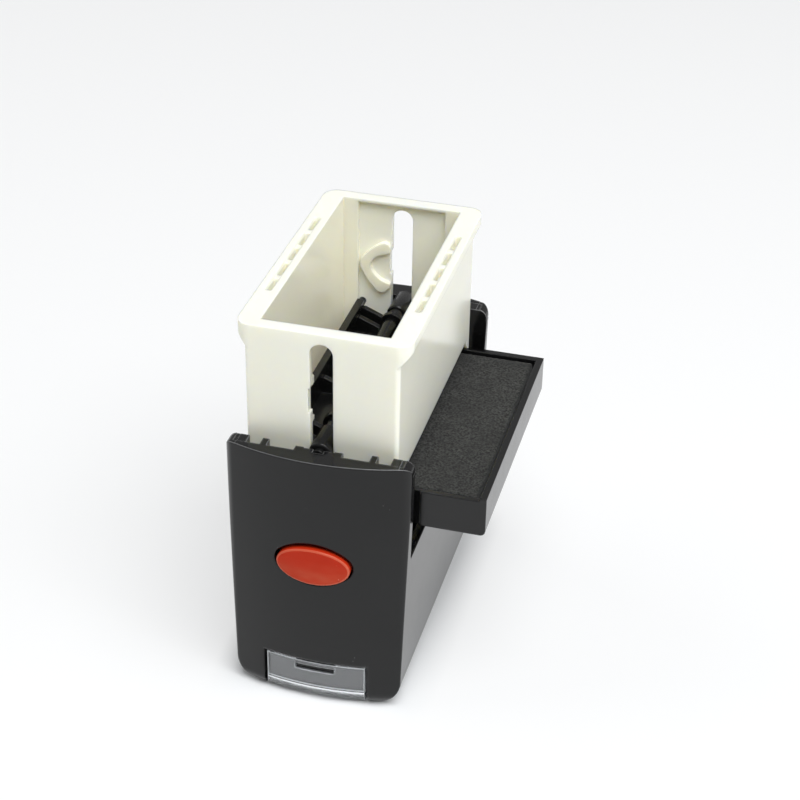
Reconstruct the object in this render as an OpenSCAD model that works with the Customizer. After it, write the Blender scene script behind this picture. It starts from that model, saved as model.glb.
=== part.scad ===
// Self-inking stamp, standing on its cap with the foot rim upwards, locked and with the ink tray
// drawn out to one side. Millimetres, +Z up, origin at the middle of the face it stands on.

/* [Overall] */
// Height from the face it stands on to the foot rim, at the locked position
overall_h = 93.6; // [88:0.1:100]
// Running clearance between sliding pieces
slide_gap = 0.3; // [0.2:0.05:0.5]
// Clearance between the axle and what it turns in
turn_gap = 0.05; // [0.02:0.01:0.09]

/* [Text plate] */
// Length of the text plate, which the frame and the cap follow
plate_l = 57.4; // [46:0.1:69]
// Width of the text plate, which the frame and the cap follow
plate_w = 22; // [18:0.1:30]
// Thickness of the text plate without its relief
plate_t = 0.9; // [0.6:0.1:1.2]
// Height of the relief on the text plate
relief_t = 0.6; // [0.4:0.1:0.8]
// Thickness of the cushion under the text plate
cushion_t = 1.2; // [0.8:0.1:1.6]

/* [Cap] */
// Room and wall beside the frame, on each long side at the rim
cap_beside = 4.05; // [3.6:0.05:5]
// Thickness of the end walls at the middle of their bow
end_wall = 4.05; // [3.8:0.05:5]
// How much narrower each side is at the closed end
cap_draft = 1.7; // [0.4:0.1:2]
// How far the end walls reach above the middle of the axle
cap_above_axle = 0.9; // [0.6:0.1:1.5]
// Room between the long side walls and the tray when the frame is pressed in
side_clear = 0.5; // [0.3:0.1:4]
// How far each end face bows out
end_bow = 2.6; // [1.5:0.1:3]
// Radius of the upright corners
corner_r = 3.6; // [2.5:0.1:4.5]
// Radius of the long edges at the closed end
edge_r = 6; // [5:0.5:7]
// Radius of the upper corners of the end walls
top_r = 2.2; // [1.5:0.1:3]
// Radius of the crown across the closed end
crown_r = 60; // [40:1:90]
// Half the width of the flat strip along the middle of the closed end
crown_flat = 9.6; // [8:0.1:11]
// Thickness of the long side walls
side_wall = 2; // [1.6:0.1:2.4]
// Thickness of the closed end
cap_floor = 4.2; // [3.4:0.1:5]
// Space between the frame's end face and the inside of the end wall
end_space = 3.2; // [3:0.1:3.6]
// Width of the guide block at each corner of the end wall
guide_block_w = 4.9; // [3:0.1:6]
// Thickness of the narrow guide ribs
guide_rib_t = 1.5; // [1:0.1:2]
// Distance of the narrow guide ribs from the middle
guide_rib_x = 12.3; // [11.6:0.1:13]
// How far the narrow guide ribs stand back from the frame
guide_rib_back = 0.7; // [0.4:0.1:1.2]
// Half the width of the axle socket, to the outside of its ribs
socket_half = 5.4; // [4.6:0.1:6]
// Thickness of the axle socket's ribs
socket_rib_t = 1.9; // [1.2:0.1:2.2]
// How far the axle socket's ribs stand back from the frame
socket_rib_back = 1.6; // [1:0.1:1.8]
// Height of the axle socket
socket_h = 9; // [7:0.5:12]
// Width of the mouth that the axle snaps in through
snap_w = 2.1; // [1.8:0.1:2.4]

/* [Frame] */
// Room in the mouth beside the text plate, on each long side
mouth_beside = 3.3; // [3:0.1:4]
// Room in the mouth at each end of the text plate
mouth_beyond = 2; // [1.8:0.1:3]
// Thickness of the frame's long walls
frame_side_t = 2.8; // [2:0.1:3.4]
// Thickness of the frame's end walls
frame_end_t = 3.25; // [3.2:0.05:4]
// How far the flange stands out along the two long sides of the foot rim
flange_out = 2.25; // [1.4:0.05:3]
// Height of the flange's upright edge
flange_h = 2.5; // [1.5:0.1:3.5]
// Height of the slope under the flange
flange_slope = 2.4; // [1.5:0.1:3.5]
// Plan radius of the flange's corners
flange_r = 3.4; // [2:0.1:4]
// Clearance between the axle's collars and the slot that they ride in
slot_gap = 0.15; // [0.1:0.01:0.25]
// Distance from the foot rim to the end of that slot
slot_margin = 2.25; // [1.5:0.05:4]
// How far the middle of the slot's other end lies below the axle
slot_below = 2; // [1.5:0.1:3]
// Depth of the pockets in the long rims
pocket_depth = 2.6; // [0.8:0.1:6]
// Width of the pockets in the long rims
pocket_w = 1.2; // [1:0.1:2]
// Pitch of the pockets in the long rims
pocket_pitch = 7.65; // [7:0.05:8.2]
// Web left between two pockets
pocket_web = 1.8; // [1.4:0.1:3]
// Number of pockets in each long rim
pocket_count = 5; // [3:1:7]
// Depth of the groove that the pockets lie in
groove_depth = 0.4; // [0.2:0.1:0.6]
// How far the groove reaches round the pockets
groove_out = 0.15; // [0.1:0.05:0.3]
// Height of the cam rib on the stepped panel of the inner end walls
cam_t = 1.2; // [0.8:0.1:1.3]
// Depth of that panel
panel_t = 1.2; // [0.8:0.1:1.3]
// Width of that panel
panel_w = 21.4; // [21:0.1:23]
// Distance from the foot rim to the top of that panel
panel_drop = 0.8; // [0.6:0.1:3]
// Depth of the notch in the slot's edge between the ends of the cam rib
slot_notch = 0.4; // [0.2:0.05:0.6]
// Length of that notch
slot_notch_l = 6.2; // [5:0.1:7]
// Distance from the foot rim to the upper end of that notch
slot_notch_drop = 13.5; // [13:0.1:15]
// Radius of the frame's upright edges
frame_r = 1; // [0.6:0.1:1.5]
// Room between the lower edge of the long walls and the tray's raised rim
wall_above_tray = 2.15; // [1.6:0.05:3]
// Thickness of the frame's floor under the tray
frame_floor = 2.6; // [2:0.1:3.2]
// Thickness of the end skirts below the floor
skirt_t = 2; // [1.6:0.1:2.4]
// How far the end skirts reach below the floor
skirt_drop = 8.6; // [8:0.1:11]

/* [Ink tray] */
// Room between the printing face and the tray's raised rim
tray_below = 0.75; // [0.4:0.05:1.2]
// Height of the tray
tray_h = 9.65; // [9:0.05:10]
// How far the tray reaches past the mouth, at each end
tray_beyond = 0.5; // [0.3:0.1:0.8]
// How far the tray is drawn out
tray_out = 19.2; // [0:0.1:24]
// Width of the tray's rims
tray_rim = 1.6; // [1.4:0.1:2.4]
// How far the raised rims stand above the pad
rim_above_pad = 0.75; // [0.3:0.05:1]
// Thickness of the tray's floor
tray_floor = 1.8; // [1.2:0.1:2.4]
// Width of the low rim at the tray's front end
tray_low_rim = 1.3; // [1.2:0.1:2]
// Depth of the step in the tray's end faces
tray_step = 0.5; // [0.3:0.1:0.6]
// Distance of that step from the tray's outer side
tray_step_x = 14.8; // [12:0.1:18]
// Radius of the tray's lower outer edge
tray_edge_r = 1.2; // [0.8:0.1:3]
// Gap between the pad and the raised rim on the outer side
pad_gap = 0.7; // [0.3:0.1:1]

/* [Platen] */
// Distance from the foot rim to the middle of the axle
axle_drop = 28.3; // [28:0.05:28.6]
// Radius of the axle
axle_r = 1.9; // [1.7:0.05:2]
// How far the axle's collars reach into the frame's end walls
axle_beyond = 1.5; // [0.5:0.1:3]
// Radius of the spigots at the axle's ends
spigot_r = 1.4; // [1.2:0.05:1.6]
// Radius of the collars on the axle's ends
collar_r = 2.45; // [2.3:0.05:2.6]
// Length of the collars
collar_l = 4.8; // [4:0.1:6]
// Space between the collars and the cross webs that hold the axle
collar_space = 3.4; // [2:0.1:5]
// Distance from the axle to the printing face
print_reach = 7.4; // [7.2:0.05:7.6]
// Thickness of the carrier's platform
platform_t = 1.3; // [1:0.1:1.4]
// How far the carrier's side fins stand in from the edge of the text plate
fin_in = 0.8; // [0.4:0.1:1.4]
// Thickness of the side fins
fin_t = 1.7; // [1.2:0.1:2]
// How far the side fins rise above the axle
fin_rise = 2.3; // [1.5:0.1:2.6]
// Thickness of the carrier's cross webs
web_t = 1.4; // [1:0.1:1.8]
// How far the cross webs rise above the axle's middle, at the side fins
web_rise = 0.6; // [0.2:0.1:1]
// Wall of the rings that hold the axle
ring_t = 0.9; // [0.7:0.1:1.2]
// Thickness of the spine under the axle
spine_t = 2.4; // [1.6:0.1:3]
// Radius of the followers at the ends of the side fins
follower_r = 0.95; // [0.7:0.05:1.1]

/* [Buttons] */
// Length of the oval button
button_l = 17.5; // [16:0.1:19]
// Height of the oval button
button_h = 10.4; // [8.6:0.1:10.6]
// Radius of the oval's ends, as a share of half its height
oval_share = 0.62; // [0.5:0.02:0.8]
// Distance from the rim of the end wall to the button's middle
button_drop = 27; // [26:0.1:28]
// How far the button stands proud of the end face
button_proud = 0.9; // [0.5:0.1:1.5]
// Travel of the button from locked to released
button_travel = 1.6; // [1.2:0.1:1.7]
// Thickness of the button's flange behind the wall
button_flange = 1.1; // [0.8:0.1:1.1]
// How far the flange reaches past the oval
button_lip = 1.1; // [0.8:0.1:1.4]
// Radius of the button's outer edge
button_edge_r = 1; // [0.4:0.1:1.2]
// How far the button's face is crowned
button_crown = 0.3; // [0.1:0.05:0.4]
// How far in from the oval that crown is flat
button_crown_in = 2.3; // [1.5:0.1:3]
// Width of the button's catch
catch_bar_w = 6; // [4:0.1:8]
// Height of the button's catch
catch_bar_h = 1.6; // [1.2:0.1:2]
// How far the frame can be pressed in while the tray is drawn out
press_travel = 6.7; // [5:0.1:6.7]

/* [Window] */
// Width of the clear window
window_w = 23.3; // [20:0.1:24]
// Height of the window's end tabs
window_tab_h = 11; // [8:0.1:13]
// Thickness of the window
window_t = 1.4; // [1.2:0.1:1.8]
// Radius of the fold between the closed end and the end faces
fold_r = 3.7; // [2.4:0.1:4.4]
// Gap beside the window's tabs
window_gap = 0.7; // [0.3:0.1:1]
// How far the tabs sit back from the end face
window_back = 0.3; // [0.1:0.1:0.8]
// Width of the catch that holds each tab
catch_w = 8.8; // [6:0.1:10]
// Height of that catch
catch_h = 1.2; // [0.8:0.1:1.6]
// How far that catch reaches through the tab
catch_reach = 0.85; // [0.5:0.05:1.1]

/* [Spring] */
// Mean radius of the return spring
spring_r = 7.4; // [6.8:0.1:8]
// Diameter of the spring wire
wire_d = 1.2; // [0.8:0.1:1.4]
// Number of working turns
spring_turns = 7; // [5:1:9]
// Gap between the wires of the closed turn at each end
end_turn_gap = 0.5; // [0.3:0.1:0.8]
// Height of the post in the cap that the spring stands on
post_h = 6; // [4:0.5:9]
// Length of the boss under the frame's floor that the spring holds
boss_h = 4; // [3:0.5:6]

/* [Hidden] */
$fn = 96;
eps = 0.01;
lap = 0.03;
far = 200;

// Widths and lengths, from the text plate outwards
mouth_w = plate_w + 2 * mouth_beside;
mouth_l = plate_l + 2 * mouth_beyond;
frame_w = mouth_w + 2 * frame_side_t;
frame_l = mouth_l + 2 * frame_end_t;
flange_w = frame_w + 2 * flange_out;
tray_w = frame_w;
tray_l = mouth_l + 2 * tray_beyond;
cap_w = frame_w + 2 * cap_beside;
cap_l = frame_l + 2 * (end_space + end_wall);
fin_x = plate_w / 2 - fin_in;

// Levels above the face that the stamp stands on
axle_h = overall_h - axle_drop;
cap_h = axle_h + cap_above_axle;
button_z = cap_h - button_drop;
crown_z = sqrt(crown_r * crown_r - crown_flat * crown_flat);
tray_top = axle_h - print_reach - tray_below;
tray_z = tray_top - tray_h;
long_wall_z = tray_top + wall_above_tray;
floor_top = tray_z - slide_gap;
floor_z = floor_top - frame_floor;
skirt_z = floor_z - skirt_drop;
pad_top = tray_top - rim_above_pad;
side_h = tray_z - press_travel - side_clear;
socket_z = cap_h - socket_h;
catch_bar_z = button_z + button_h / 4;

// Distances along the stamp, from its middle
wall_in_y = frame_l / 2 + end_space;
block_y = frame_l / 2 + slide_gap;
bay_y = tray_l / 2 + slide_gap;
mouth_y = mouth_l / 2;
panel_y = mouth_y + panel_t;
button_flange_y = wall_in_y - slide_gap / 2 - button_travel;
catch_bar_y = button_flange_y - button_flange - button_travel + slide_gap;

// End face of the cap: an arc, rounded into the sides
bow_chord = cap_w / 2 - corner_r;
bow_r = (bow_chord * bow_chord + end_bow * end_bow) / (2 * end_bow);

// Levels of the platen, below or above the axle
print_z = axle_h - print_reach;
plate_z = print_z + relief_t;
cushion_z = plate_z + plate_t;
platform_z = cushion_z + cushion_t;
platform_top = platform_z + platform_t;
fin_top = axle_h + fin_rise;
carrier_y = plate_l / 2;
collar_y = mouth_y + axle_beyond;
collar_in_y = collar_y - collar_l;
slot_r = collar_r + slot_gap;
web_end_y = collar_in_y - collar_space - web_t / 2;

// Colours
black = [0.1, 0.1, 0.11];
ivory = [0.9, 0.89, 0.83];
red = [0.76, 0.2, 0.1];
steel = [0.7, 0.71, 0.73];

// Rectangle with round corners, centred
module round_rect(w, l, r) {
    square([w - 2 * r, l], center = true);
    square([w, l - 2 * r], center = true);
    for (x = [-1, 1], y = [-1, 1])
        translate([x * (w / 2 - r), y * (l / 2 - r)]) circle(r);
}

// Plan of the cap: bowed ends that run into round corners, which lap over them a little
module bowed_plan(l, w, r_bow, r) {
    centre_y = l / 2 - r_bow;
    corner_x = w / 2 - r;
    corner_y = centre_y + sqrt(pow(r_bow - r, 2) - corner_x * corner_x) + lap;
    tangent_x = corner_x * r_bow / (r_bow - r);
    intersection() {
        translate([0, centre_y]) circle(r_bow, $fn = 256);
        translate([0, -centre_y]) circle(r_bow, $fn = 256);
        square([2 * tangent_x, l], center = true);
    }
    square([w, 2 * corner_y], center = true);
    for (x = [-1, 1], y = [-1, 1])
        translate([x * corner_x, y * corner_y]) circle(r);
}

// Section of the cap across its width, taken in by an inset: drafted sides with round upper corners,
// a crowned closed end, and round edges that lap over the sides and the crown a little
module crowned_section(inset) {
    slope = cap_draft / cap_h;
    slant = sqrt(1 + slope * slope);
    half_w = cap_w / 2 - inset;
    top = cap_h - inset;
    crown = crown_r - inset;
    low_x = half_w - cap_draft - edge_r * slant;
    reach = crown - edge_r;
    half_b = crown_z - low_x * slope;
    squares = low_x * low_x + crown_z * crown_z - reach * reach;
    round_z = (half_b - sqrt(half_b * half_b - slant * slant * squares)) / (slant * slant);
    round_x = low_x + slope * round_z;
    touch_x = round_x * crown / reach;
    side_x = half_w - cap_draft + slope * round_z;
    top_z = top - top_r;
    top_x = half_w - slope * (top_r + inset) - top_r;
    edge = top_r / 4;
    half = [[side_x, round_z], [top_x + top_r, top_z - edge], [top_x - edge, top]];
    polygon(concat(half, [for (i = [2 : -1 : 0]) [-half[i][0], half[i][1]]]));
    intersection() {
        translate([0, crown_z]) circle(crown, $fn = 256);
        translate([-touch_x, inset]) square([2 * touch_x, round_z + eps - inset]);
    }
    for (x = [-1, 1]) {
        translate([x * (round_x + lap), round_z - lap / 2]) circle(edge_r);
        translate([x * (top_x - lap), top_z - lap]) circle(top_r);
    }
}

// Section of the cap's hollow: drafted sides, round lower edges, from z = 0 to h
module drafted_section(w, h, draft, r) {
    slant = sqrt(h * h + draft * draft);
    corner_x = w / 2 - draft - r * (slant - draft) / h;
    tangent = [corner_x + r * h / slant, r - r * draft / slant];
    round_x = corner_x + lap;
    polygon([[-round_x, 0], [round_x, 0], tangent, [w / 2, h], [-w / 2, h], [-tangent[0], tangent[1]]]);
    for (x = [-1, 1])
        translate([x * round_x, r]) circle(r);
}

// Turns a section drawn in X and Z into a bar along Y, centred
module along_y(l) {
    rotate([90, 0, 0]) translate([0, 0, -l / 2]) linear_extrude(l) children();
}

// The same at both ends of the stamp: the child is drawn for the rear end
module both_ends() {
    children();
    mirror([0, 1, 0]) children();
}

// The same on both long sides: the child is drawn for the right side
module both_sides() {
    children();
    mirror([1, 0, 0]) children();
}

// A block from a low corner to a high corner
module block(low, high) {
    translate(low) cube(high - low);
}

// Oval of four arcs that lap a little, a by b half-lengths
module oval(a, b) {
    r = b * oval_share;
    reach = a - r - lap;
    side_r = (reach * reach + b * b - r * r) / (2 * (b - r));
    tangent_x = reach * side_r / (side_r - r);
    intersection() {
        translate([0, b - side_r]) circle(side_r, $fn = 200);
        translate([0, side_r - b]) circle(side_r, $fn = 200);
        square([2 * tangent_x, 2 * b], center = true);
    }
    for (x = [-1, 1]) translate([x * (a - r), 0]) circle(r);
}

// Disc whose rim is the bowed face of the rear end, with the fold at its foot, taken in by an inset
module end_disc(inset, low, high) {
    r = bow_r - inset;
    fold = fold_r - inset;
    translate([0, cap_l / 2 - bow_r, low]) rotate_extrude($fn = 256) {
        square([r - fold, high]);
        translate([0, fold]) square([r, high - fold]);
        translate([r - fold, fold]) circle(fold);
    }
}

// Outer form of the cap: its plan laps a little over the discs that form the end faces
module cap_form() {
    intersection() {
        linear_extrude(cap_h) bowed_plan(cap_l + 2 * lap, cap_w + slide_gap, bow_r, corner_r);
        along_y(cap_l + 2) crowned_section(0);
        end_disc(0, 0, 2 * cap_h);
        mirror([0, 1, 0]) end_disc(0, 0, 2 * cap_h);
    }
}

module cap_cavity() {
    inner_w = cap_w - 2 * side_wall;
    translate([0, 0, cap_floor])
        along_y(2 * wall_in_y)
            drafted_section(inner_w, cap_h - cap_floor + eps, cap_draft, edge_r - side_wall);
}

// Guide blocks, guide ribs and the axle's snap-in socket inside one end wall
module end_wall_guides() {
    inner_x = cap_w / 2 - side_wall;
    deep = wall_in_y + eps;
    low = cap_floor - eps;
    rib_y = frame_l / 2 + guide_rib_back;
    socket_rib_y = frame_l / 2 + socket_rib_back;
    both_sides() {
        intersection() {
            block([cap_w / 2 - guide_block_w, block_y, low], [inner_x + side_wall / 2, deep, cap_h]);
            along_y(cap_l) crowned_section(slide_gap / 3);
        }
        block([guide_rib_x - guide_rib_t / 2, rib_y, low], [guide_rib_x + guide_rib_t / 2, deep, cap_h]);
        block([socket_half - socket_rib_t, socket_rib_y, socket_z], [socket_half, deep, cap_h]);
    }
    difference() {
        block([-socket_half + eps, socket_rib_y + slide_gap, socket_z + eps],
              [socket_half - eps, deep, cap_h - eps]);
        translate([0, 0, axle_h]) along_y(far) circle(spigot_r + turn_gap);
        // Mouth that the axle snaps in through
        block([-snap_w / 2, socket_rib_y - 1, axle_h], [snap_w / 2, deep + 1, cap_h + 1]);
    }
}

// Space inside the window's faces, taken in by an inset: flat in the middle, crowned beside it
module window_space(inset) {
    back = window_back + inset;
    intersection() {
        end_disc(back, inset, 2 * window_tab_h);
        mirror([0, 1, 0]) end_disc(back, inset, 2 * window_tab_h);
        translate([0, 0, crown_z]) along_y(far) circle(crown_r - inset, $fn = 256);
    }
}

// Room for the clear window: a channel along the closed end and a notch in each end face
module window_room() {
    half = window_w / 2 + window_gap;
    difference() {
        block([-half, -far, -1], [half, far, window_tab_h + window_gap]);
        window_space(window_t + eps);
    }
}

// Catches on the cap that hold the window's tabs
module window_catches() {
    tab_y = cap_l / 2 - window_back - window_t - eps;
    catch_z = window_tab_h - 2 * catch_h;
    both_ends()
        block([-catch_w / 2, tab_y - 1, catch_z], [catch_w / 2, tab_y + catch_reach, catch_z + catch_h]);
}

module cap_shell() {
    color(black) {
        difference() {
            cap_form();
            cap_cavity();
            block([-far, -block_y, side_h], [far, block_y, far]);
            translate([0, 0, button_z])
                along_y(far) oval(button_l / 2 + slide_gap, button_h / 2 + slide_gap);
            window_room();
        }
        both_ends() end_wall_guides();
        window_catches();
        // Post that keeps the return spring in place
        translate([0, 0, cap_floor - eps]) cylinder(h = post_h, r = inside_r);
    }
}

module index_window() {
    tab_y = cap_l / 2 - window_back - window_t;
    catch_z = window_tab_h - 2 * catch_h - slide_gap / 2;
    color([0.85, 0.88, 0.9, 0.35])
        difference() {
            intersection() {
                window_space(0);
                block([-window_w / 2, -far, -1], [window_w / 2, far, window_tab_h]);
            }
            window_space(window_t);
            both_ends()
                block([-catch_w / 2 - slide_gap, tab_y - 1, catch_z],
                      [catch_w / 2 + slide_gap, far, catch_z + catch_h + slide_gap]);
        }
}

// Return spring: closed end turns at a small pitch and working turns between them
spring_low = cap_floor + slide_gap / 3;
spring_high = floor_z - slide_gap / 3;
end_pitch = wire_d + end_turn_gap;
work_pitch = (spring_high - spring_low - wire_d - 2 * end_pitch) / spring_turns;
turn_rings = 12;
ring_count = turn_rings * (spring_turns + 2);
wire_sides = 6;
// Radius of the post and the boss inside the spring
inside_r = spring_r - wire_d / 2 - 2 * slide_gap;

function turn_height(t) =
    t < 1 ? t * end_pitch
    : t < spring_turns + 1 ? end_pitch + (t - 1) * work_pitch
    : end_pitch + spring_turns * work_pitch + (t - spring_turns - 1) * end_pitch;

function spring_middle(i) =
    let (t = i / turn_rings)
    [spring_r * cos(360 * t), spring_r * sin(360 * t), spring_low + wire_d / 2 + turn_height(t)];

function wire_point(i, j) =
    let (a = 360 * i / turn_rings, b = 360 * j / wire_sides)
    spring_middle(i) + wire_d / 2 * [cos(b) * cos(a), cos(b) * sin(a), sin(b)];

// Least gap between one turn and the next, measured on the wire's middle points
turn_gaps = [for (i = [0 : ring_count - turn_rings])
    norm(spring_middle(i + turn_rings) - spring_middle(i)) - wire_d];
echo(least_spring_gap = min(turn_gaps));

module return_spring() {
    points = [for (i = [0 : ring_count]) for (j = [0 : wire_sides - 1]) wire_point(i, j)];
    sides = [for (i = [0 : ring_count - 1]) for (j = [0 : wire_sides - 1])
        let (k = (j + 1) % wire_sides, a = i * wire_sides, b = a + wire_sides)
        each [[a + j, b + j, b + k], [a + j, b + k, a + k]]];
    last = ring_count * wire_sides;
    ends = [for (j = [1 : wire_sides - 2]) each [[0, j, j + 1], [last, last + j + 1, last + j]]];
    color(steel) polyhedron(points, concat(sides, ends));
}

// One lock button, drawn for the rear end: oval cap, flange behind the wall and catch
module lock_button() {
    face_y = cap_l / 2 + button_proud;
    flange_y = button_flange_y;
    half_l = button_l / 2;
    half_h = button_h / 2;
    rise = face_y - flange_y;
    round_z = rise - button_crown - button_edge_r;
    layer = 0.1;
    translate([0, flange_y, button_z]) rotate([-90, 0, 0]) {
        linear_extrude(round_z) oval(half_l, half_h);
        // Rounded edge and slightly crowned face, which start a little inside the oval
        hull() {
            for (a = [0 : 30 : 90]) {
                inset = button_edge_r * (1 - cos(a)) + lap;
                translate([0, 0, round_z + button_edge_r * sin(a) - layer])
                    linear_extrude(layer) oval(half_l - inset, half_h - inset);
            }
            translate([0, 0, rise - layer])
                linear_extrude(layer) oval(half_l - button_crown_in, half_h - button_crown_in);
        }
        translate([0, 0, -button_flange])
            linear_extrude(button_flange + eps) oval(half_l + button_lip, half_h + button_lip);
    }
    block([-catch_bar_w / 2, catch_bar_y, catch_bar_z],
          [catch_bar_w / 2, flange_y - button_flange + eps, catch_bar_z + catch_bar_h]);
}

module lock_button_rear() { color(red) lock_button(); }

module lock_button_front() { color(red) mirror([0, 1, 0]) lock_button(); }

// Outline of the cam rib in X and Z, from the slot's edge and the foot rim
cam_out = [[-2.6, -12], [-3.2, -11.3], [-4, -11], [-5, -11.3], [-6.5, -12.3], [-8, -13.7], [-9.6, -15.5],
           [-10.1, -16.4], [-10.2, -17.4], [-9.9, -18.8], [-8.2, -21.6], [-6.5, -23.7], [-5.8, -24.3],
           [-5.1, -24.6], [-4.3, -24.5], [-3.6, -24.1], [-2.5, -22.8]];
cam_in = [[-2.6, -21.9], [-3.6, -21.7], [-4.8, -21.2], [-6.2, -20.1], [-7.1, -19], [-7.5, -17.9],
          [-7.4, -16.8], [-6.8, -15.7], [-6, -14.9], [-5, -14.4], [-2.6, -13.7]];

// Cam rib with a root that reaches a little into the stepped panel behind it
module cam_rib() {
    translate([0, panel_y + eps, overall_h]) rotate([90, 0, 0])
        linear_extrude(cam_t + eps) polygon(concat(cam_out, cam_in));
}

// Notch in the slot's edge between the ends of the cam rib
module cam_notch() {
    high = overall_h - slot_notch_drop;
    block([-slot_r - slot_notch, mouth_y - 1, high - slot_notch_l], [0, far, high]);
}

// Slot in an end wall that the axle rides in
module axle_slot() {
    top = overall_h - slot_margin - slot_r;
    low = axle_h - slot_below;
    along_y(far) {
        translate([0, top]) circle(slot_r);
        translate([0, low]) circle(slot_r);
        translate([-slot_r, low]) square([2 * slot_r, top - low]);
    }
}

// Row of pockets in the right-hand long rim, with the shallow groove that they lie in
module rim_pockets() {
    x = (mouth_w + flange_w) / 4;
    l = pocket_pitch - pocket_web;
    groove_w = pocket_w + 2 * groove_out;
    groove_l = (pocket_count - 1) * pocket_pitch + l + 2 * groove_out;
    translate([x, 0, overall_h - pocket_depth])
        for (i = [0 : pocket_count - 1])
            translate([0, (i - (pocket_count - 1) / 2) * pocket_pitch, 0])
                linear_extrude(pocket_depth + 1) round_rect(pocket_w, l, pocket_w / 3);
    translate([x, 0, overall_h - groove_depth])
        linear_extrude(groove_depth + 1) round_rect(groove_w, groove_l, groove_w / 3);
}

// Flange along both long sides of the foot rim
module rim_flange() {
    edge_z = overall_h - flange_h;
    slope_z = edge_z - flange_slope;
    intersection() {
        translate([0, 0, slope_z - 1])
            linear_extrude(flange_h + flange_slope + 1) round_rect(flange_w, frame_l, flange_r);
        along_y(frame_l)
            polygon([[-frame_w / 2 + 1, slope_z - 1], [frame_w / 2 - 1, slope_z - 1], [frame_w / 2, slope_z],
                     [flange_w / 2, edge_z], [flange_w / 2, overall_h], [-flange_w / 2, overall_h],
                     [-flange_w / 2, edge_z], [-frame_w / 2, slope_z]]);
    }
}

module base_frame() {
    half_w = frame_w / 2;
    half_l = frame_l / 2;
    lock_x = catch_bar_w / 2 + slide_gap;
    lock_top = catch_bar_z + catch_bar_h + press_travel + slide_gap;
    open_z = tray_top;
    color(ivory) {
        difference() {
            union() {
                translate([0, 0, skirt_z])
                    linear_extrude(overall_h - skirt_z) round_rect(frame_w, frame_l, frame_r);
                rim_flange();
            }
            // Mouth, tray bay, and the open space between the skirts
            block([-mouth_w / 2, -mouth_y, open_z], [mouth_w / 2, mouth_y, far]);
            block([-far, -mouth_y, floor_top], [far, mouth_y, long_wall_z]);
            block([-far, -bay_y, floor_top], [far, bay_y, tray_top + slide_gap]);
            block([-far, -half_l + skirt_t, skirt_z - 1], [far, half_l - skirt_t, floor_z]);
            axle_slot();
            both_sides() rim_pockets();
            // Stepped panel round the cam on the inner end walls
            both_ends() {
                block([-panel_w / 2, mouth_y - 1, open_z], [panel_w / 2, panel_y, overall_h - panel_drop]);
                cam_notch();
            }
            // Recess that the lock button's catch holds in
            both_ends()
                block([-lock_x, catch_bar_y - slide_gap, catch_bar_z - slide_gap / 2],
                      [lock_x, half_l + 1, lock_top]);
        }
        both_ends() {
            difference() {
                cam_rib();
                axle_slot();
            }
        }
        // Boss that keeps the return spring in place
        translate([0, 0, floor_z - boss_h])
            cylinder(h = boss_h + eps, r = inside_r);
    }
}

module ink_tray() {
    low_x = tray_out - tray_w / 2;
    high_x = tray_out + tray_w / 2;
    half_l = tray_l / 2;
    pad_z = tray_z + tray_floor;
    color(black)
        difference() {
            union() {
                along_y(tray_l) {
                    translate([low_x, tray_z]) square([tray_w - tray_edge_r, pad_top - tray_z]);
                    translate([low_x, tray_z + tray_edge_r]) square([tray_w, pad_top - tray_z - tray_edge_r]);
                    translate([high_x - tray_edge_r, tray_z + tray_edge_r]) circle(tray_edge_r);
                }
                block([high_x - tray_rim, -half_l, pad_top - eps], [high_x, half_l, tray_top]);
                block([low_x, half_l - tray_rim, pad_top - eps], [high_x, half_l, tray_top]);
            }
            block([low_x + tray_rim, -half_l + tray_low_rim, pad_z],
                  [high_x - tray_rim, half_l - tray_rim, far]);
            // Step in the end faces, where the tray runs inside the frame
            both_ends() block([low_x - 1, half_l - tray_step, 0], [high_x - tray_step_x, far, far]);
        }
}

module ink_pad() {
    low_x = tray_out - tray_w / 2 + tray_rim + slide_gap / 3;
    high_x = tray_out + tray_w / 2 - tray_rim - pad_gap;
    front_y = -tray_l / 2 + tray_low_rim + slide_gap / 3;
    back_y = tray_l / 2 - tray_rim - slide_gap / 3;
    color([0.16, 0.16, 0.17])
        block([low_x, front_y, tray_z + tray_floor], [high_x, back_y, pad_top]);
}

// Cross web of the carrier at y: slopes down from both side fins to the axle
module carrier_web(y) {
    inner_x = fin_x - fin_t + eps;
    high = axle_h + web_rise;
    low = axle_h - axle_r;
    half = [[axle_r, low], [inner_x - web_rise, high], [inner_x, high], [inner_x, platform_top - eps]];
    translate([0, y, 0]) along_y(web_t) {
        polygon(concat(half, [[0, platform_top - eps], [0, low]]));
        mirror([1, 0]) polygon(concat(half, [[-eps, platform_top - eps], [-eps, low]]));
    }
}

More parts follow.
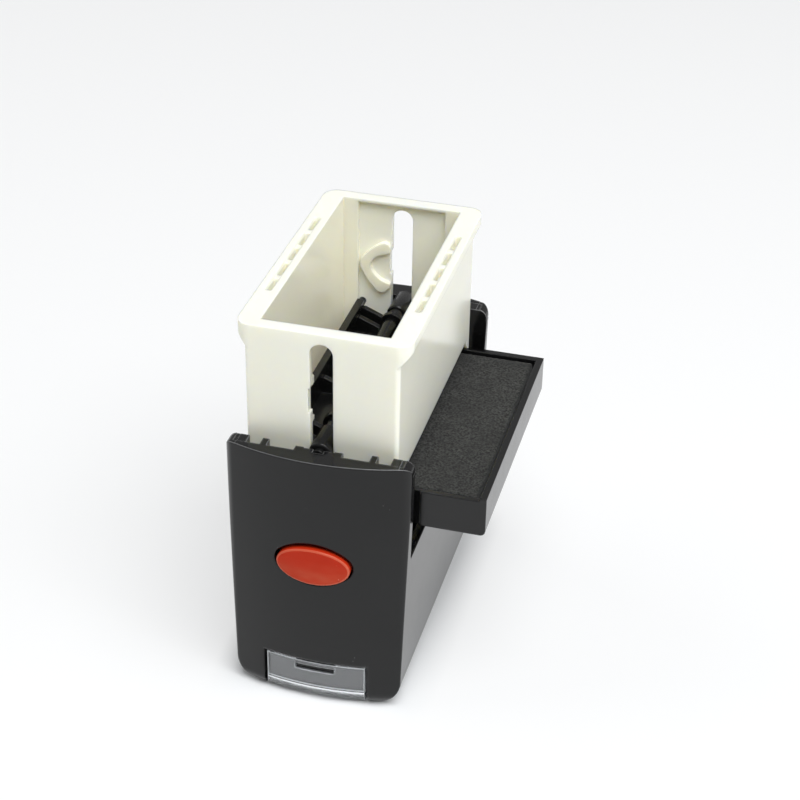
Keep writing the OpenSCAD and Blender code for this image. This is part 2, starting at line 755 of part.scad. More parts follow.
module platen_carrier() {
    ring_r = axle_r + ring_t;
    web_places = [-web_end_y, -web_end_y / 4, web_end_y / 4, web_end_y];
    follower_z = fin_top - follower_r - slide_gap;
    color(black)
        difference() {
            union() {
                block([-fin_x, -carrier_y, platform_z], [fin_x, carrier_y, platform_top]);
                both_sides() {
                    block([fin_x - fin_t, -carrier_y, platform_z + eps], [fin_x, carrier_y, fin_top]);
                    both_ends()
                        translate([fin_x - fin_t / 2, carrier_y - eps, follower_z]) rotate([-90, 0, 0])
                            cylinder(h = mouth_y - slide_gap - carrier_y, r = follower_r);
                }
                for (y = web_places) carrier_web(y);
                for (y = [-1, 1]) carrier_web(y * (carrier_y - web_t / 2));
                // Spine under the axle, and the rings that hold it
                block([-spine_t / 2, -web_end_y, platform_top - eps],
                      [spine_t / 2, web_end_y, axle_h - axle_r / 2]);
                for (y = web_places) translate([0, y, axle_h]) along_y(web_t) circle(ring_r);
            }
            translate([0, 0, axle_h]) along_y(far) circle(axle_r + turn_gap / 2);
            // Room for the collars
            both_ends()
                translate([0, collar_in_y - slide_gap / 2 + collar_l, axle_h])
                    along_y(2 * collar_l) circle(collar_r + slide_gap);
        }
}

module platen_axle() {
    color(black)
        translate([0, 0, axle_h]) {
            along_y(2 * collar_y) circle(axle_r);
            along_y(2 * (wall_in_y - slide_gap)) circle(spigot_r);
        }
}

module axle_collar() {
    translate([0, collar_y - collar_l / 2, axle_h]) along_y(collar_l - eps) difference() {
        circle(collar_r);
        circle(axle_r + turn_gap / 2);
    }
}

module axle_collar_rear() { color(black) axle_collar(); }

module axle_collar_front() { color(black) mirror([0, 1, 0]) axle_collar(); }

module die_cushion() {
    color([0.35, 0.35, 0.36])
        block([-plate_w / 2 + slide_gap, -plate_l / 2 + slide_gap, cushion_z],
              [plate_w / 2 - slide_gap, plate_l / 2 - slide_gap, platform_z]);
}

// Blank text plate: a raised border and plain bars on a thin sheet
module text_plate() {
    border = 0.8;
    out_w = plate_w - 2 * slide_gap;
    out_l = plate_l - 2 * slide_gap;
    bar_count = 3;
    bar_w = 2.4;
    bar_end = 5.7;
    bar_l = plate_l - 2 * bar_end;
    bar_r = bar_w / 4;
    bar_pitch = plate_w / (bar_count + 1);
    color([0.55, 0.3, 0.25]) {
        block([-plate_w / 2, -plate_l / 2, plate_z], [plate_w / 2, plate_l / 2, cushion_z]);
        translate([0, 0, print_z]) linear_extrude(relief_t + eps) {
            difference() {
                round_rect(out_w, out_l, 2 * border);
                round_rect(out_w - 2 * border, out_l - 2 * border, border);
            }
            for (i = [1 : bar_count])
                translate([i * bar_pitch - plate_w / 2, 0]) round_rect(bar_w, bar_l, bar_r);
        }
    }
}

cap_shell();
index_window();
return_spring();
lock_button_front();
lock_button_rear();
base_frame();
ink_tray();
ink_pad();
platen_carrier();
platen_axle();
axle_collar_front();
axle_collar_rear();
die_cushion();
text_plate();
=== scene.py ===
import math
import random

import bmesh
import bpy
from mathutils import Matrix, Vector


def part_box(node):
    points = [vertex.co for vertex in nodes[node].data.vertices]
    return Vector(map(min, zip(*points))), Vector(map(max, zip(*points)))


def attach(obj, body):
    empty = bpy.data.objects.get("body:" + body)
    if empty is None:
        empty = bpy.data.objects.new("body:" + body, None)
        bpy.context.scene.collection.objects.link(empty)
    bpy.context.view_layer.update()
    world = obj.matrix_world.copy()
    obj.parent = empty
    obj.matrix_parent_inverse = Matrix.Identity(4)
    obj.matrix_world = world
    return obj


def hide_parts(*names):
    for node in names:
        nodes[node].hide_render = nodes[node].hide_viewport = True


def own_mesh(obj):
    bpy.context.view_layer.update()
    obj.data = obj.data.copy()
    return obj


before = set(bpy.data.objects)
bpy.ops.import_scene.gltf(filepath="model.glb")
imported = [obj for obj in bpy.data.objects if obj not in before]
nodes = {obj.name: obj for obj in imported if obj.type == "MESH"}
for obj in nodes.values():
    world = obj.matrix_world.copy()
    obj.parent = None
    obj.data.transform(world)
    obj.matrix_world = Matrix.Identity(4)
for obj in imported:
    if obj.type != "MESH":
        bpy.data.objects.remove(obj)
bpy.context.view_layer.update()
scene = bpy.context.scene
scene.view_settings.view_transform = "Standard"

MM = 0.001


# Camera, fitted to edges of the frame and the tray in the photograph
CAMERA_PLACE = (0.10071, -0.35579, 0.28943)
CAMERA_AZIMUTH = math.radians(14.532)
CAMERA_ELEVATION = math.radians(32.094)
CAMERA_ROLL = math.radians(1.113)
FOCAL_PIXELS = 1869.97
PHOTO_SIDE = 800
SENSOR = 36.0
CLIP_START = 0.01
CLIP_END = 20.0


def make_camera():
    back = Vector((
        math.sin(CAMERA_AZIMUTH) * math.cos(CAMERA_ELEVATION),
        -math.cos(CAMERA_AZIMUTH) * math.cos(CAMERA_ELEVATION),
        math.sin(CAMERA_ELEVATION),
    ))
    right = Vector((math.cos(CAMERA_AZIMUTH), math.sin(CAMERA_AZIMUTH), 0.0))
    up = back.cross(right)
    cos_roll = math.cos(CAMERA_ROLL)
    sin_roll = math.sin(CAMERA_ROLL)
    rolled_right = cos_roll * right + sin_roll * up
    rolled_up = cos_roll * up - sin_roll * right
    turn = Matrix((rolled_right, rolled_up, back)).transposed()
    data = bpy.data.cameras.new("camera")
    data.sensor_width = SENSOR
    data.lens = FOCAL_PIXELS * SENSOR / PHOTO_SIDE
    data.clip_start = CLIP_START
    data.clip_end = CLIP_END
    camera = bpy.data.objects.new("camera", data)
    camera.matrix_world = Matrix.Translation(CAMERA_PLACE) @ turn.to_4x4()
    scene.collection.objects.link(camera)
    scene.camera = camera


make_camera()


# Shaders
BEVEL_SAMPLES = 8
# Stretch of a noise over which a colour drifts from its first tone to its second
DRIFT_START = 0.3
DRIFT_END = 0.7
# Places of the colour sockets on a mix node
MIX_FIRST = 6
MIX_SECOND = 7
MIX_RESULT = 2


def grey(value):
    return (value, value, value, 1)


class Shader:
    """A new material with a Principled shader, and short calls for the nodes that feed it."""

    def __init__(self, name):
        self.material = bpy.data.materials.new(name)
        self.material.use_nodes = True
        self.tree = self.material.node_tree
        self.main = self.tree.nodes["Principled BSDF"]
        self.place = self.node("TexCoord").outputs["Object"]

    def fill(self, socket, value):
        """Links an output to a socket, or sets a plain value on it."""
        if isinstance(value, bpy.types.NodeSocket):
            self.tree.links.new(value, socket)
        else:
            socket.default_value = value

    def node(self, kind, **inputs):
        node = self.tree.nodes.new("ShaderNode" + kind)
        for socket, value in inputs.items():
            self.fill(node.inputs[socket], value)
        return node

    def put(self, socket, value):
        self.fill(self.main.inputs[socket], value)

    def noise(self, scale, detail=3.0, rough=0.5, stretch=None):
        place = self.place
        if stretch is not None:
            place = self.node("Mapping", Vector=place, Scale=stretch).outputs["Vector"]
        return self.node("TexNoise", Vector=place, Scale=scale, Detail=detail, Roughness=rough).outputs["Fac"]

    def ramp(self, output, start, end, first, second):
        """Colour from the first to the second as an output goes from start to end."""
        node = self.node("ValToRGB", Fac=output)
        stops = ((start, first), (end, second))
        for element, (position, colour) in zip(node.color_ramp.elements, stops):
            element.position = position
            element.color = colour
        return node.outputs["Color"]

    def drift(self, first, second, scale, detail=3.0):
        """Colour that drifts between two tones."""
        return self.ramp(self.noise(scale, detail), DRIFT_START, DRIFT_END, first, second)

    def patches(self, scale, start, end, most):
        """Cloudy patches of up to most, and 0 between them."""
        return self.ramp(self.noise(scale, 2), start, end, grey(0), grey(most))

    def specks(self, scale, core, rim):
        """1 in sparse round specks and 0 outside."""
        cells = self.node("TexVoronoi", Vector=self.place, Scale=scale)
        return self.ramp(cells.outputs["Distance"], core, rim, grey(1), grey(0))

    def between(self, output, low, high, start=0.0, end=1.0):
        """From low to high as an output goes from start to end."""
        node = self.node("MapRange", Value=output)
        stretch = {"From Min": start, "From Max": end, "To Min": low, "To Max": high}
        for socket, value in stretch.items():
            self.fill(node.inputs[socket], value)
        return node.outputs["Result"]

    def gloss(self, low, high, scale, detail=3.0):
        """Uneven gloss, with a roughness from low to high."""
        self.put("Roughness", self.between(self.noise(scale, detail), low, high))

    def calc(self, operation, *terms):
        node = self.node("Math")
        node.operation = operation
        for socket, term in zip(node.inputs, terms):
            self.fill(socket, term)
        return node.outputs[0]

    def times(self, first, second):
        return self.calc("MULTIPLY", first, second)

    def along(self, axis):
        return self.node("SeparateXYZ", Vector=self.place).outputs[axis]

    def band(self, axis, middle, half, fade):
        """1 within half of the middle along an axis, and 0 further out than the fade."""
        away = self.calc("ABSOLUTE", self.calc("SUBTRACT", self.along(axis), middle))
        return self.between(away, 1.0, 0.0, half, half + fade)

    def rounded(self, radius):
        """Normal as if the edges were rounded."""
        node = self.node("Bevel", Radius=radius)
        node.samples = BEVEL_SAMPLES
        return node.outputs["Normal"]

    def edges(self, radius, low, high):
        """1 along the edges and 0 on the faces, from how far a rounded normal turns from the face's own."""
        turn = self.node("VectorMath")
        turn.operation = "DOT_PRODUCT"
        self.fill(turn.inputs[0], self.rounded(radius))
        self.fill(turn.inputs[1], self.node("NewGeometry").outputs["Normal"])
        return self.ramp(turn.outputs["Value"], low, high, grey(1), grey(0))

    def mixed(self, factor, first, second):
        node = self.node("Mix")
        node.data_type = "RGBA"
        self.fill(node.inputs["Factor"], factor)
        self.fill(node.inputs[MIX_FIRST], first)
        self.fill(node.inputs[MIX_SECOND], second)
        return node.outputs[MIX_RESULT]

    def relief(self, height, strength, distance, edge=0.0):
        """Bump of an output, over edges rounded by the given radius."""
        bump = self.node("Bump", Height=height, Strength=strength, Distance=distance)
        if edge > 0:
            self.fill(bump.inputs["Normal"], self.rounded(edge))
        self.put("Normal", bump.outputs["Normal"])


# Painted places on the cap, the frame, the button and the window
# The frame's mouth, painted warmer and lighter inside as painted bounce light, and more so further down
MOUTH_HALF_W = 14.4 * MM
MOUTH_HALF_L = 32.3 * MM
MOUTH_DEPTH = 28.0 * MM
MOUTH_SIDE_FADE = 0.2 * MM
MOUTH_END_FADE = 0.3 * MM
# Below the foot rim, where the painted bounce light starts and where it is full
BOUNCE_START = 0.2 * MM
BOUNCE_FULL = 0.8 * MM
# Start of the recessed panels on the inner end walls, from the middle; they are painted paler as painted
# light that cancels the shade of their recess
PANEL_START = 31.3 * MM
PANEL_FADE = 0.2 * MM
# Level of the cap's rim, near its edge, and the height of the stretch whose edges are painted paler grey,
# partly as wear and partly as a painted highlight
RIM_LEVEL = 65.0 * MM
RIM_HIGHLIGHT_AND_WEAR = 3.0 * MM
# Above the button's lower edge, where its red is palest and where the paler red ends
LOWER_PALER_MOST = 2.0 * MM
LOWER_PALER_END = 8.0 * MM
# Level of the fold at the foot of the window's tabs, where a frosted white band is a painted highlight
FOLD_LEVEL = 3.7 * MM
FOLD_HALF = 0.1 * MM
FOLD_FADE = 0.15 * MM
# Slot in the tabs that the cap's catch holds in
CATCH_SLOT_HALF_W = 4.9 * MM
CATCH_SLOT_LEVEL = 9.2 * MM
CATCH_SLOT_HALF_H = 0.95 * MM
CATCH_SLOT_FADE = 0.2 * MM


# Materials
def cap_plastic():
    dust_grey = grey(0.20)
    highlight_and_wear_grey = grey(0.16)
    s = Shader("cap_black_gloss")
    tone = s.drift((0.0028, 0.0028, 0.0030, 1), (0.0042, 0.0042, 0.0044, 1), 60)
    dust = s.times(s.specks(420, 0.03, 0.06), s.patches(140, 0.58, 0.68, 0.7))
    # Edges near the rim painted paler grey: partly wear, partly a painted highlight
    near_rim = s.between(s.along("Z"), 0.0, 1.0, RIM_LEVEL - RIM_HIGHLIGHT_AND_WEAR, RIM_LEVEL)
    rim_highlight_and_wear = s.times(s.edges(0.5 * MM, 0.88, 0.97), near_rim)
    s.put("Base Color", s.mixed(rim_highlight_and_wear, s.mixed(dust, tone, dust_grey), highlight_and_wear_grey))
    s.gloss(0.13, 0.19, 220)
    s.put("IOR", 1.41)
    s.relief(s.noise(700, 2), 0.03, 0.05 * MM, 0.8 * MM)
    return s.material


def frame_plastic():
    bounce_yellow = (0.920, 0.886, 0.745, 1)
    panel_painted_light = (0.970, 0.940, 0.815, 1)
    s = Shader("frame_ivory_gloss")
    tone = s.drift((0.880, 0.866, 0.755, 1), (0.895, 0.882, 0.775, 1), 45)
    rim_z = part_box("base_frame")[1].z
    # Painted bounce light: the mouth's inside is painted warmer and lighter than the outside, more so further
    # down
    across = s.times(
        s.band("X", 0.0, MOUTH_HALF_W, MOUTH_SIDE_FADE),
        s.band("Y", 0.0, MOUTH_HALF_L, MOUTH_END_FADE),
    )
    below = s.between(s.along("Z"), 0.0, 1.0, rim_z - BOUNCE_START, rim_z - BOUNCE_FULL)
    inside = s.times(across, below)
    deep = s.between(s.along("Z"), 0.45, 1.0, rim_z, rim_z - MOUTH_DEPTH)
    bounce_tinted = s.mixed(s.times(inside, deep), tone, bounce_yellow)
    # The recessed panels are painted paler still: painted light that cancels the shade of their recess and
    # thinner wall
    beyond = s.between(s.band("Y", 0.0, PANEL_START, PANEL_FADE), 1.0, 0.0)
    s.put("Base Color", s.mixed(s.times(inside, beyond), bounce_tinted, panel_painted_light))
    s.gloss(0.20, 0.26, 60, 2)
    s.put("IOR", 1.5)
    s.put("Subsurface Weight", 0.6)
    s.put("Subsurface Radius", (1.0, 0.9, 0.6))
    s.put("Subsurface Scale", 2.5 * MM)
    s.relief(s.noise(220, 2), 0.02, 0.04 * MM, 0.5 * MM)
    return s.material


def button_plastic(name, highlight_share):
    """Red plastic, paler and more orange in streaks towards its lower edge, with pale dots, and a share of
    paler red that is a painted highlight.
    """
    lower_red = (0.50, 0.085, 0.040, 1)
    highlight_red = (0.86, 0.36, 0.22, 1)
    dot_red = (0.75, 0.40, 0.30, 1)
    s = Shader(name)
    fresh = s.drift((0.44, 0.022, 0.005, 1), (0.50, 0.028, 0.007, 1), 120)
    foot_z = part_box("lock_button_front")[0].z
    # Paler, more orange red towards the lower edge, in streaks
    lower_paler = s.between(s.along("Z"), 0.9, 0.0, foot_z + LOWER_PALER_MOST, foot_z + LOWER_PALER_END)
    streaks = s.ramp(s.noise(500, 3, stretch=(0.3, 1.0, 1.0)), 0.35, 0.7, grey(0.3), grey(1))
    tone = s.mixed(s.times(lower_paler, streaks), fresh, lower_red)
    # Share of paler red: a painted highlight, for the button's rounded edge
    pale = s.between(s.noise(70, 2), 0.5 * highlight_share, highlight_share)
    tone = s.mixed(pale, tone, highlight_red)
    dots = s.times(s.specks(520, 0.05, 0.10), s.patches(260, 0.58, 0.66, 0.8))
    s.put("Base Color", s.mixed(dots, tone, dot_red))
    s.gloss(0.20, 0.26, 300)
    s.put("Specular IOR Level", 0.1)
    s.relief(s.noise(500, 2), 0.04, 0.05 * MM)
    return s.material


def tray_plastic():
    s = Shader("tray_black_satin")
    s.put("Base Color", s.drift((0.0030, 0.0030, 0.0033, 1), (0.0048, 0.0048, 0.0050, 1), 80))
    s.gloss(0.14, 0.22, 260, 4)
    s.put("IOR", 1.45)
    s.relief(s.noise(1800, 3), 0.05, 0.04 * MM, 0.5 * MM)
    return s.material


def carrier_plastic():
    s = Shader("carrier_black_satin")
    s.put("Base Color", s.drift(grey(0.004), grey(0.007), 90))
    s.gloss(0.19, 0.26, 300)
    s.put("Specular IOR Level", 0.3)
    s.relief(s.noise(1600, 2), 0.10, 0.05 * MM, 0.3 * MM)
    return s.material


def pad_felt():
    fibre_black = grey(0.002)
    fibre_worn = (0.050, 0.050, 0.047, 1)
    soaked = (0.012, 0.012, 0.0115, 1)
    s = Shader("pad_felt_inked")
    grain = s.noise(2000, 4, 0.65)
    fibres = s.ramp(grain, 0.38, 0.62, fibre_black, fibre_worn)
    wet = s.between(s.noise(170, 3), 0.0, 0.45, 0.35, 0.65)
    s.put("Base Color", s.mixed(wet, fibres, soaked))
    s.put("Roughness", 0.92)
    s.put("Specular IOR Level", 0.25)
    s.put("Sheen Weight", 0.10)
    s.put("Sheen Roughness", 0.5)
    s.relief(grain, 0.35, 0.2 * MM)
    return s.material


def cushion_foam():
    skin = grey(0.16)
    pores = grey(0.05)
    s = Shader("cushion_foam_grey")
    cells = s.specks(2600, 0.2, 0.55)
    s.put("Base Color", s.mixed(cells, skin, pores))
    s.put("Roughness", 0.9)
    s.relief(cells, 0.6, 0.2 * MM)
    return s.material


def plate_rubber():
    s = Shader("plate_rubber_red")
    s.put("Base Color", s.drift((0.20, 0.075, 0.055, 1), (0.27, 0.100, 0.072, 1), 200, 4))
    s.gloss(0.55, 0.75, 700)
    s.relief(s.noise(3000, 2), 0.15, 0.05 * MM, 0.1 * MM)
    return s.material


def spring_steel():
    s = Shader("spring_steel_wire")
    s.put("Metallic", 1.0)
    s.put("Base Color", s.drift((0.52, 0.52, 0.53, 1), (0.66, 0.66, 0.67, 1), 400))
    s.gloss(0.29, 0.40, 900)
    s.relief(s.noise(2600, 2), 0.08, 0.05 * MM)
    return s.material


def window_plastic():
    """Clear plastic, frosted white along its edges and its fold as a painted highlight, and less so in the
    catch's slot.
    """
    s = Shader("window_clear_polished")
    s.put("Base Color", (0.93, 0.95, 0.97, 1))
    s.put("IOR", 1.49)
    slot = s.times(
        s.band("X", 0.0, CATCH_SLOT_HALF_W, CATCH_SLOT_FADE),
        s.band("Z", CATCH_SLOT_LEVEL, CATCH_SLOT_HALF_H, CATCH_SLOT_FADE),
    )
    edges = s.times(s.edges(0.5 * MM, 0.84, 0.97), s.between(slot, 1.0, 0.3))
    # Edges and fold frosted white: painted highlights
    painted_highlight = s.calc("MAXIMUM", edges, s.band("Z", FOLD_LEVEL, FOLD_HALF, FOLD_FADE))
    s.put("Transmission Weight", s.between(painted_highlight, 0.92, 0.05))
    s.put("Roughness", s.between(painted_highlight, 0.05, 0.35))
    s.relief(s.noise(300, 2), 0.02, 0.05 * MM, 0.3 * MM)
    return s.material


BUTTON = button_plastic("button_red_satin", 0.0)
# Second red, for the rounded edge of the button's face: its paler red is a painted highlight
BUTTON_EDGE_HIGHLIGHT = button_plastic("button_red_edge_highlight", 0.28)
CARRIER = carrier_plastic()
NODE_MATERIALS = {
    "cap_shell": cap_plastic(),
    "index_window": window_plastic(),
    "base_frame": frame_plastic(),
    "ink_tray": tray_plastic(),
    "text_plate": plate_rubber(),
    "platen_carrier": CARRIER,
    "platen_axle": CARRIER,
}
for node_name, material in NODE_MATERIALS.items():
    slots = nodes[node_name].data.materials
    slots.clear()
    slots.append(material)


# Pieces
def new_piece(name, shape, material):
    mesh = bpy.data.meshes.new(name)
    shape.to_mesh(mesh)
    shape.free()
    mesh.materials.append(material)
    for polygon in mesh.polygons:
        polygon.use_smooth = True
    piece = bpy.data.objects.new(name, mesh)
    scene.collection.objects.link(piece)
    return piece


def join_rings(shape, rings, closed, marked=()):
    """Quads between each ring of points and the next, and from the last to the first if closed. The
    quads after the marked rings get the piece's second material."""
    pairs = list(zip(rings, rings[1:]))
    if closed:
        pairs.append((rings[-1], rings[0]))
    for n, (first, second) in enumerate(pairs):
        for i in range(len(first)):
            k = (i + 1) % len(first)
            face = shape.faces.new((first[i], second[i], second[k], first[k]))
            face.material_index = 1 if n in marked else 0


# Felt pad and foam cushion: size of their faces, rounding of their edges and unevenness of their skin
PAD_STEP = 0.45 * MM
PAD_EDGE = 0.5 * MM
PAD_FUZZ = 0.10 * MM
PAD_SEED = 7
CUSHION_STEP = 0.5 * MM
CUSHION_EDGE = 0.3 * MM
CUSHION_FUZZ = 0.04 * MM
CUSHION_SEED = 8


def soft_slab(low, high, step, edge, fuzz, seed):
    """Closed slab of felt or foam: a fine skin with rounded edges and an uneven, fibrous surface."""
    draw = random.Random(seed)
    shape = bmesh.new()
    counts = [max(2, round((high[axis] - low[axis]) / step)) for axis in range(3)]
    corners = {}

    def corner(*index):
        if index not in corners:
            spot = [low[n] + (high[n] - low[n]) * index[n] / counts[n] for n in range(3)]
            corners[index] = shape.verts.new(spot)
        return corners[index]

    def side(axis, at, flip):
        first, second = [n for n in range(3) if n != axis]
        for u in range(counts[first]):
            for v in range(counts[second]):
                ring = []
                for du, dv in ((0, 0), (1, 0), (1, 1), (0, 1)):
                    index = [0, 0, 0]
                    index[axis] = at
                    index[first] = u + du
                    index[second] = v + dv
                    ring.append(corner(*index))
                shape.faces.new(ring if flip else ring[::-1])

    for axis in range(3):
        side(axis, 0, axis == 1)
        side(axis, counts[axis], axis != 1)
    inner_low = Vector(low) + Vector((edge, edge, edge))
    inner_high = Vector(high) - Vector((edge, edge, edge))
    for vert in shape.verts:
        core = Vector(max(a, min(b, c)) for a, b, c in zip(inner_low, inner_high, vert.co))
        away = vert.co - core
        if away.length > 0:
            vert.co = core + away.normalized() * edge
            vert.co -= away.normalized() * draw.uniform(0, fuzz)
    bmesh.ops.recalc_face_normals(shape, faces=shape.faces)
    return shape


def make_pad():
    low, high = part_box("ink_pad")
    shape = soft_slab(low, high, PAD_STEP, PAD_EDGE, PAD_FUZZ, PAD_SEED)
    pad = new_piece("felt_pad", shape, pad_felt())
    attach(pad, "tray")
    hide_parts("ink_pad")


def make_cushion():
    low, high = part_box("die_cushion")
    shape = soft_slab(low, high, CUSHION_STEP, CUSHION_EDGE, CUSHION_FUZZ, CUSHION_SEED)
    cushion = new_piece("foam_cushion", shape, cushion_foam())
    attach(cushion, "platen")
    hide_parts("die_cushion")


# Coil spring, with a closer turn at each end
WIRE = 1.2 * MM
WORK_TURNS = 7
TURN_RINGS = 40
WIRE_SIDES = 14
END_TURN_GAP = 0.5 * MM
END_PITCH = WIRE + END_TURN_GAP


def coil_height(turn, work_pitch):
    if turn < 1:
        return turn * END_PITCH
    if turn < WORK_TURNS + 1:
        return END_PITCH + (turn - 1) * work_pitch
    return END_PITCH + WORK_TURNS * work_pitch + (turn - WORK_TURNS - 1) * END_PITCH


def make_spring():
    low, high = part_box("return_spring")
    mean_r = (high.x - low.x) / 2 - WIRE / 2
    start_z = low.z + WIRE / 2
    work_pitch = (high.z - low.z - WIRE - 2 * END_PITCH) / WORK_TURNS
    shape = bmesh.new()
    rings = []
    count = TURN_RINGS * (WORK_TURNS + 2)
    for i in range(count + 1):
        turn = i / TURN_RINGS
        angle = 2 * math.pi * turn
        out = Vector((math.cos(angle), math.sin(angle), 0))
        middle = out * mean_r + Vector((0, 0, start_z + coil_height(turn, work_pitch)))
        ring = []
        for j in range(WIRE_SIDES):
            side = 2 * math.pi * j / WIRE_SIDES
            spot = middle + WIRE / 2 * (math.cos(side) * out + math.sin(side) * Vector((0, 0, 1)))
            ring.append(shape.verts.new(spot))
        rings.append(ring)
    join_rings(shape, rings, False)
    shape.faces.new(rings[0])
    shape.faces.new(rings[-1][::-1])
    bmesh.ops.recalc_face_normals(shape, faces=shape.faces)
    spring = new_piece("coil_spring", shape, spring_steel())
    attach(spring, "cap")
    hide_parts("return_spring")
    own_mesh(spring)


# Lock button: the oval in the wall's hole, a little low and loose in it
BUTTON_POINTS = 96
BUTTON_HALF_L = 8.5 * MM
BUTTON_HALF_H = 4.75 * MM
BUTTON_LOW = 0.3 * MM
BUTTON_SUNK = 0.1 * MM
BUTTON_EDGE = 0.45 * MM
BUTTON_EDGE_STEPS = 5
BUTTON_BOW_R = 58.0 * MM
BUTTON_FACE_RINGS = 8
# Flange behind the wall, from the face, and its thickness
BUTTON_STEM = 6.6 * MM
BUTTON_FLANGE = 1.1 * MM
# Catch on the flange, above the middle
CATCH_HALF_W = 3.0 * MM
CATCH_LOW = 2.6 * MM
CATCH_HEIGHT = 1.6 * MM
CATCH_EDGE = 0.2 * MM
CATCH_EDGE_STEPS = 2


def make_button(name, node, body, outwards):
    """Oval push button with a crisp rounded edge, a bowed face, a flange behind the wall and a catch."""
    low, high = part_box(node)
    middle_z = (low.z + high.z) / 2
    face_y = max(outwards * low.y, outwards * high.y) - BUTTON_SUNK
    catch_y = min(outwards * low.y, outwards * high.y)
    stem_y = face_y - BUTTON_STEM
    shape = bmesh.new()

    def ring(half_l, half_h, y, drop=0.0, bowed=False):
        points = []
        for i in range(BUTTON_POINTS):
            angle = 2 * math.pi * i / BUTTON_POINTS
            x = half_l * math.cos(angle)
            back = x * x / (2 * BUTTON_BOW_R) if bowed else 0.0
            z = middle_z - drop + half_h * math.sin(angle)
            points.append(shape.verts.new((x, outwards * (y - back), z)))
        return points

    lip_l = (high.x - low.x) / 2
    lip_h = (high.z - low.z) / 2
    rings = [
        ring(lip_l - CATCH_EDGE, lip_h - CATCH_EDGE, stem_y - BUTTON_FLANGE),
        ring(lip_l, lip_h, stem_y - BUTTON_FLANGE + CATCH_EDGE),
        ring(lip_l, lip_h, stem_y - CATCH_EDGE),
        ring(lip_l - CATCH_EDGE, lip_h - CATCH_EDGE, stem_y),
        ring(BUTTON_HALF_L + CATCH_EDGE, BUTTON_HALF_H + CATCH_EDGE, stem_y, BUTTON_LOW),
        ring(BUTTON_HALF_L, BUTTON_HALF_H, stem_y + CATCH_EDGE, BUTTON_LOW),
    ]
    edge_y = face_y - BUTTON_EDGE
    first_edge = len(rings)
    for i in range(BUTTON_EDGE_STEPS + 1):
        angle = math.pi / 2 * i / BUTTON_EDGE_STEPS
        inset = BUTTON_EDGE * (1 - math.cos(angle))
        ring_y = edge_y + BUTTON_EDGE * math.sin(angle)
        rings.append(ring(BUTTON_HALF_L - inset, BUTTON_HALF_H - inset, ring_y, BUTTON_LOW, True))
    face_l = BUTTON_HALF_L - BUTTON_EDGE
    face_h = BUTTON_HALF_H - BUTTON_EDGE
    for i in range(1, BUTTON_FACE_RINGS):
        share = 1 - i / BUTTON_FACE_RINGS
        rings.append(ring(face_l * share, face_h * share, face_y, BUTTON_LOW, True))
    join_rings(shape, rings, False, range(first_edge + 1, first_edge + BUTTON_EDGE_STEPS))
    shape.faces.new(rings[0])
    shape.faces.new(rings[-1][::-1])
    foot_z = middle_z + CATCH_LOW
    top_z = foot_z + CATCH_HEIGHT
    outline = ((-CATCH_HALF_W, foot_z), (CATCH_HALF_W, foot_z), (CATCH_HALF_W, top_z), (-CATCH_HALF_W, top_z))
    corners = []
    for y in (catch_y, stem_y - BUTTON_FLANGE / 2):
        corners.append([shape.verts.new((x, outwards * y, z)) for x, z in outline])
    join_rings(shape, corners, False)
    ends = [shape.faces.new(corners[0]), shape.faces.new(corners[1][::-1])]
    bars = [edge for face in ends for edge in face.edges]
    bars += [edge for vert in corners[0] for edge in vert.link_edges]
    bmesh.ops.bevel(
        shape, geom=list(dict.fromkeys(bars)), offset=CATCH_EDGE, segments=CATCH_EDGE_STEPS,
        profile=0.5, affect="EDGES",
    )
    bmesh.ops.recalc_face_normals(shape, faces=shape.faces)
    button = new_piece(name, shape, BUTTON)
    # Second material, on the rounded edge's rings: paler red as a painted highlight
    button.data.materials.append(BUTTON_EDGE_HIGHLIGHT)
    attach(button, body)
    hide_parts(node)


# Collars: what they reach further out than the solids, their edges and the bores over axle and spigot
COLLAR_POINTS = 64
COLLAR_REACH = 3.4 * MM
COLLAR_EDGE = 0.3 * MM
COLLAR_BORE = 1.93 * MM
SPIGOT_BORE = 1.43 * MM
SHOULDER_GAP = 0.075 * MM
SHARP_ANGLE = math.radians(35)


def make_collar(name, node, outwards):
    """Collar turned on the axle's end: it runs through the frame's slot up to the cap's socket."""
    low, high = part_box(node)
    axle_z = (low.z + high.z) / 2
    radius = (high.z - low.z) / 2
    inner_y = min(outwards * low.y, outwards * high.y)
    step_y = max(outwards * low.y, outwards * high.y) + SHOULDER_GAP
    end_y = step_y + COLLAR_REACH
    outline = [
        (COLLAR_BORE, inner_y), (radius - COLLAR_EDGE, inner_y), (radius, inner_y + COLLAR_EDGE),
        (radius, end_y - COLLAR_EDGE), (radius - COLLAR_EDGE / 3, end_y - COLLAR_EDGE / 3),
        (radius - COLLAR_EDGE, end_y), (SPIGOT_BORE, end_y), (SPIGOT_BORE, step_y), (COLLAR_BORE, step_y),
    ]
    shape = bmesh.new()
    angles = [2 * math.pi * i / COLLAR_POINTS for i in range(COLLAR_POINTS)]
    rings = []
    for r, y in outline:
        spots = ((r * math.cos(a), outwards * y, axle_z + r * math.sin(a)) for a in angles)
        rings.append([shape.verts.new(spot) for spot in spots])
    join_rings(shape, rings, True)
    bmesh.ops.recalc_face_normals(shape, faces=shape.faces)
    collar = new_piece(name, shape, CARRIER)
    collar.data.set_sharp_from_angle(angle=SHARP_ANGLE)
    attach(collar, "platen")
    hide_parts(node)


make_pad()
make_cushion()
make_spring()
make_button("push_button_front", "lock_button_front", "button_front", -1)
make_button("push_button_rear", "lock_button_rear", "button_rear", 1)
make_collar("journal_front", "axle_collar_front", -1)
make_collar("journal_rear", "axle_collar_rear", 1)


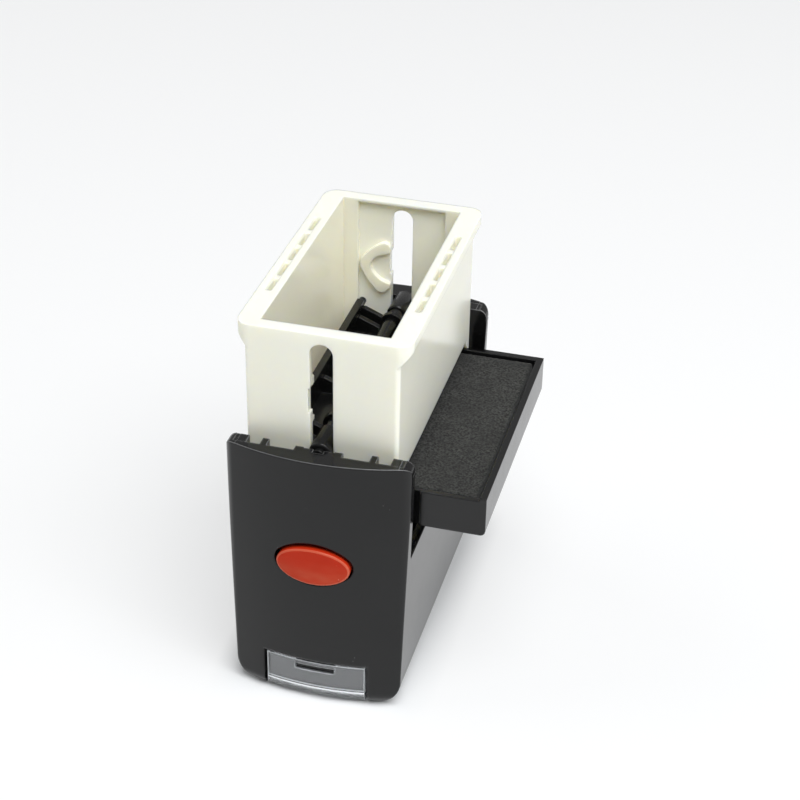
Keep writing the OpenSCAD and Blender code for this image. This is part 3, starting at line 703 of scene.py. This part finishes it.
# Floor, backdrop and light
FLOOR_SIDE = 6.0
FLOOR_GLOW = 0.55
UNDER_HALF_W = 19.0 * MM
UNDER_HALF_L = 39.0 * MM
UNDER_SOFT = 8.0 * MM
WORLD_LIGHT = 0.02
WORLD_SEEN = 0.45
LAMP_SIDE = 1.0
LAMP_COLOUR = (0.97, 0.99, 1.0)
LAMP_AIM = Vector((0, 0, 0.05))
# Each lamp's place in metres and power in watts
LAMPS = {
    "lamp_key": ((0.37, -0.43, 1.17), 19.5),
    "lamp_front": ((0.72, -0.72, 0.77), 0.9),
    "lamp_right": ((1.02, 0.0, 0.77), 4.5),
    "lamp_left": ((-1.02, 0.0, 0.77), 5.5),
}


def background_rays(tree):
    """1 for the rays that show the background: those of the camera, of reflections and through glass."""
    rays = tree.nodes.new("ShaderNodeLightPath")
    seen = rays.outputs["Is Camera Ray"]
    for kind in ("Is Glossy Ray", "Is Transmission Ray"):
        either = tree.nodes.new("ShaderNodeMath")
        either.operation = "MAXIMUM"
        tree.links.new(seen, either.inputs[0])
        tree.links.new(rays.outputs[kind], either.inputs[1])
        seen = either.outputs[0]
    return seen


def floor_material():
    """Pale floor that takes the shadow. The rays that show the background see part of it as plain white,
    apart from the place under the object."""
    s = Shader("floor_white")
    s.put("Base Color", (0.86, 0.86, 0.865, 1))
    s.put("Roughness", 0.6)
    s.put("Specular IOR Level", 0.2)
    under = s.times(s.band("X", 0.0, UNDER_HALF_W, UNDER_SOFT), s.band("Y", 0.0, UNDER_HALF_L, UNDER_SOFT))
    share = s.times(background_rays(s.tree), s.between(under, FLOOR_GLOW, 0.0))
    mix = s.node("MixShader")
    for socket, output in zip(mix.inputs, (share, s.main.outputs[0], s.node("Emission").outputs[0])):
        s.fill(socket, output)
    s.fill(s.tree.nodes["Material Output"].inputs["Surface"], mix.outputs[0])
    return s.material


def make_floor():
    half = FLOOR_SIDE / 2
    shape = bmesh.new()
    ring = [shape.verts.new((x * half, y * half, 0)) for x, y in ((-1, -1), (1, -1), (1, 1), (-1, 1))]
    shape.faces.new(ring)
    floor = new_piece("floor", shape, floor_material())


def make_lamp(name, place, power):
    data = bpy.data.lights.new(name, "AREA")
    data.shape = "SQUARE"
    data.size = LAMP_SIDE
    data.energy = power
    data.color = LAMP_COLOUR
    lamp = bpy.data.objects.new(name, data)
    lamp.location = place
    lamp.rotation_mode = "QUATERNION"
    lamp.rotation_quaternion = (LAMP_AIM - Vector(place)).to_track_quat("-Z", "Y")
    scene.collection.objects.link(lamp)


def make_world():
    world = bpy.data.worlds.new("studio")
    scene.world = world
    world.use_nodes = True
    tree = world.node_tree
    background = tree.nodes["Background"]
    background.inputs["Color"].default_value = (1, 1, 1, 1)
    strength = tree.nodes.new("ShaderNodeMapRange")
    strength.inputs["To Min"].default_value = WORLD_LIGHT
    strength.inputs["To Max"].default_value = WORLD_SEEN
    tree.links.new(background_rays(tree), strength.inputs["Value"])
    tree.links.new(strength.outputs["Result"], background.inputs["Strength"])


make_floor()
for lamp_name, (lamp_place, lamp_power) in LAMPS.items():
    make_lamp(lamp_name, lamp_place, lamp_power)
make_world()
